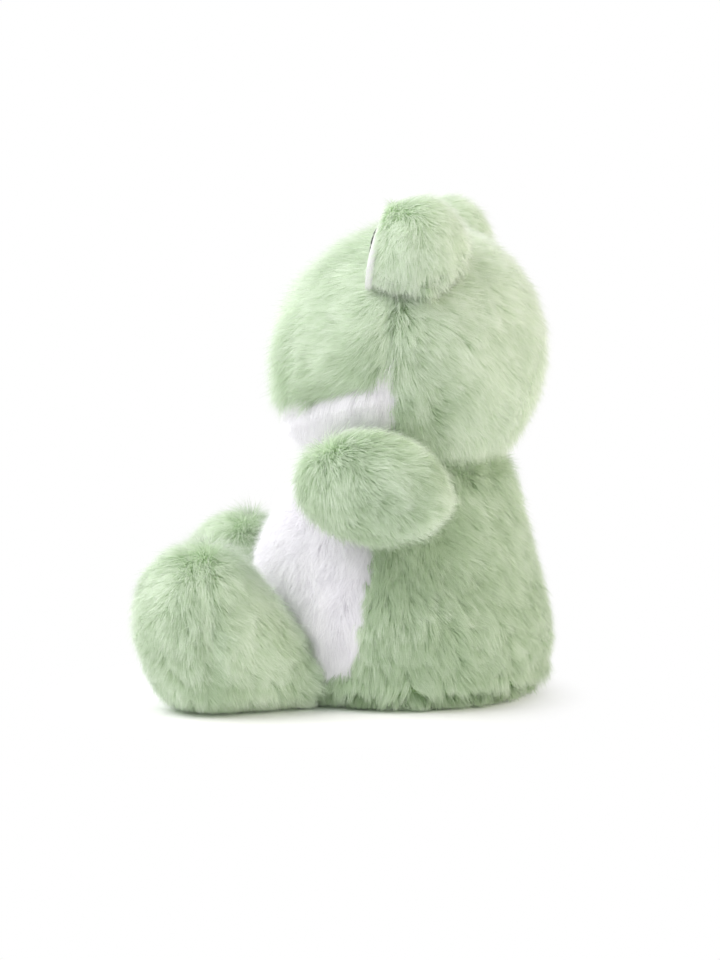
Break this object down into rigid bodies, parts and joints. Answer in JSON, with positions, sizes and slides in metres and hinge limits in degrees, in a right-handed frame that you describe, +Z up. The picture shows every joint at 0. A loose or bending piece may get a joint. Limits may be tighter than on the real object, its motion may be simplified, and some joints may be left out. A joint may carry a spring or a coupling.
{
  "type": "plush frog",
  "caption": "Seated plush frog of long-pile fabric, with a large round head, eyes on raised pods, short arms, stuffed legs with big feet and a weighted flat base.",
  "frame": {"origin": "centre of the flat seat under the body, on the surface that the frog sits on", "axes": "+Z up, -Y towards the frog's face and feet, +X towards the frog's left side"},
  "size_m": [0.2058, 0.1969, 0.2435],
  "materials": {
    "green_pile": "long soft pile, pale green, paler at the tips",
    "white_pile": "soft pile, white",
    "white_felt": "smooth short-nap felt, white",
    "stuffing": "loose polyester fibre, white",
    "pellet_cloth": "plain woven cloth, undyed",
    "thread": "sewing thread, green",
    "eye": "polished, black",
    "washer": "moulded, natural white"
  },
  "bodies": {
    "torso": {"belly_panel": "white_pile", "back_panel_left": "green_pile", "back_panel_right": "green_pile", "base_panel": "green_pile", "pellet_bag": "pellet_cloth", "body_stuffing": "stuffing"},
    "neck": {"neck_seam": "thread"},
    "head": {"head_back_left": "green_pile", "head_back_right": "green_pile", "face_panel": "green_pile", "chin_panel": "white_pile", "head_stuffing": "stuffing", "eye_pod_left": "green_pile", "eye_pod_stuffing_left": "stuffing", "eye_white_left": "white_felt", "pupil_left": "eye", "eye_washer_left": "washer", "eye_pod_right": "green_pile", "eye_pod_stuffing_right": "stuffing", "eye_white_right": "white_felt", "pupil_right": "eye", "eye_washer_right": "washer"},
    "arm_left": {"arm_left": "green_pile", "arm_stuffing_left": "stuffing"},
    "arm_right": {"arm_right": "green_pile", "arm_stuffing_right": "stuffing"},
    "leg_left": {"leg_left": "green_pile", "sole_left": "green_pile", "leg_stuffing_left": "stuffing"},
    "leg_right": {"leg_right": "green_pile", "sole_right": "green_pile", "leg_stuffing_right": "stuffing"}
  },
  "joints": [
    {"name": "head_turn", "type": "hinge", "parent": "torso", "child": "neck", "pos_m": [0, 0.005, 0.1635], "axis": [0, 0, 1], "range_deg": [-15, 15], "stiffness_Nm_per_rad": 0.3},
    {"name": "head_nod", "type": "hinge", "parent": "neck", "child": "head", "pos_m": [0, 0.005, 0.1635], "axis": [0.9981, -0.061, 0], "range_deg": [-12, 6], "stiffness_Nm_per_rad": 0.6},
    {"name": "arm_left_swing", "type": "hinge", "parent": "torso", "child": "arm_left", "pos_m": [0.057, -0.006, 0.097], "axis": [1, 0, 0], "range_deg": [-18, 28], "stiffness_Nm_per_rad": 0.05},
    {"name": "arm_right_swing", "type": "hinge", "parent": "torso", "child": "arm_right", "pos_m": [-0.057, -0.006, 0.097], "axis": [1, 0, 0], "range_deg": [-18, 28], "stiffness_Nm_per_rad": 0.05},
    {"name": "leg_left_splay", "type": "hinge", "parent": "torso", "child": "leg_left", "pos_m": [0.05, -0.044, 0.015], "axis": [0, 0, 1], "range_deg": [-5, 20], "stiffness_Nm_per_rad": 0.08},
    {"name": "leg_right_splay", "type": "hinge", "parent": "torso", "child": "leg_right", "pos_m": [-0.05, -0.044, 0.015], "axis": [0, 0, -1], "range_deg": [-5, 20], "stiffness_Nm_per_rad": 0.08}
  ]
}
